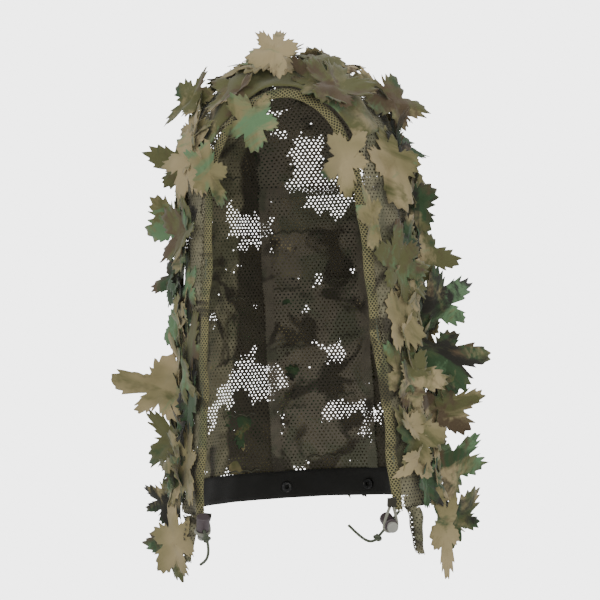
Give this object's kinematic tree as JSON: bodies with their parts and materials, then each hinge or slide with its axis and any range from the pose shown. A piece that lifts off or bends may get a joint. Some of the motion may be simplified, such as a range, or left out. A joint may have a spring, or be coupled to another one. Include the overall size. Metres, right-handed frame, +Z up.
{
  "type": "camouflage face mask",
  "caption": "Open-faced leafy camouflage hood mask of netting with sewn cloth leaves, a drawcord round the face and sprung cord locks.",
  "frame": {"origin": "where the top of the wearer's head meets the inside of the crown", "axes": "+Z up along the standing wearer; the face opening looks towards -Y; +X is on the right of somebody who faces the opening"},
  "size_m": [0.3993, 0.2966, 0.5705],
  "materials": {
    "leaf_cloth": "matte printed cloth, cut with a hot knife",
    "netting": "knitted polyester net, printed",
    "edge_binding": "knitted net binding, printed",
    "facing_net": "knitted net, doubled",
    "camo_tape": "printed woven tape",
    "hem_tape": "black woven tape",
    "seam_tape": "dark woven tape",
    "drawcord": "braided polyester cord",
    "elastic": "braided elastic cord",
    "lock_body": "moulded acetal",
    "lock_plunger": "moulded acetal",
    "spring_steel": "bright spring wire",
    "stud_cap": "black oxide",
    "stud_socket": "black oxide"
  },
  "bodies": {
    "hood": {"back_panel": "netting", "back_seam_tape_left": "seam_tape", "back_seam_tape_right": "seam_tape", "brow_band": "camo_tape", "channel_brow": "edge_binding", "channel_left": "edge_binding", "channel_right": "edge_binding", "corner_roll_left": "facing_net", "corner_roll_right": "facing_net", "crown_panel": "netting", "crown_seam_tape": "seam_tape", "drawcord": "drawcord", "facing_left": "facing_net", "facing_right": "facing_net", "hem_band_back": "hem_tape", "hem_tape_left": "hem_tape", "hem_tape_right": "hem_tape", "leaves_back_1": "leaf_cloth", "leaves_back_2": "leaf_cloth", "leaves_back_3": "leaf_cloth", "leaves_back_4": "leaf_cloth", "leaves_back_5": "leaf_cloth", "leaves_back_6": "leaf_cloth", "leaves_brow": "leaf_cloth", "leaves_crown": "leaf_cloth", "leaves_hem": "leaf_cloth", "leaves_left_1": "leaf_cloth", "leaves_left_2": "leaf_cloth", "leaves_left_3": "leaf_cloth", "leaves_left_4": "leaf_cloth", "leaves_left_5": "leaf_cloth", "leaves_left_6": "leaf_cloth", "leaves_right_1": "leaf_cloth", "leaves_right_2": "leaf_cloth", "leaves_right_3": "leaf_cloth", "leaves_right_4": "leaf_cloth", "leaves_right_5": "leaf_cloth", "leaves_right_6": "leaf_cloth", "loop_tab_left": "seam_tape", "loop_tab_right": "seam_tape", "side_panel_left": "netting", "side_panel_right": "netting", "snap_wires_left": "spring_steel", "snap_wires_right": "spring_steel", "stud_cap_left": "stud_cap", "stud_cap_right": "stud_cap", "stud_socket_left": "stud_socket", "stud_socket_right": "stud_socket", "tail_knot_left": "drawcord", "tail_knot_right": "drawcord", "tail_left": "drawcord", "tail_right": "drawcord"},
    "lock_left": {"lock_barrel_left": "lock_body", "lock_loop_left": "elastic", "lock_spring_left": "spring_steel"},
    "plunger_left": {"lock_plunger_left": "lock_plunger"},
    "lock_right": {"lock_barrel_right": "lock_body", "lock_loop_right": "elastic", "lock_spring_right": "spring_steel"},
    "plunger_right": {"lock_plunger_right": "lock_plunger"}
  },
  "joints": [
    {"name": "lock_left_slide", "type": "slide", "parent": "hood", "child": "lock_left", "axis": [0.2999, -0.7998, -0.5199], "range_m": [0, 0.006]},
    {"name": "plunger_left_press", "type": "slide", "parent": "lock_left", "child": "plunger_left", "axis": [0.1496, -0.4988, 0.8537], "range_m": [0, 0.003], "stiffness_N_per_m": 1500, "deforming": ["lock_spring_left"]},
    {"name": "lock_right_slide", "type": "slide", "parent": "hood", "child": "lock_right", "axis": [-0.6684, 0, -0.7438], "range_m": [0, 0.006]},
    {"name": "plunger_right_press", "type": "slide", "parent": "lock_right", "child": "plunger_right", "axis": [-0.3683, 0.8688, 0.3309], "range_m": [0, 0.003], "stiffness_N_per_m": 1500, "deforming": ["lock_spring_right"]}
  ]
}
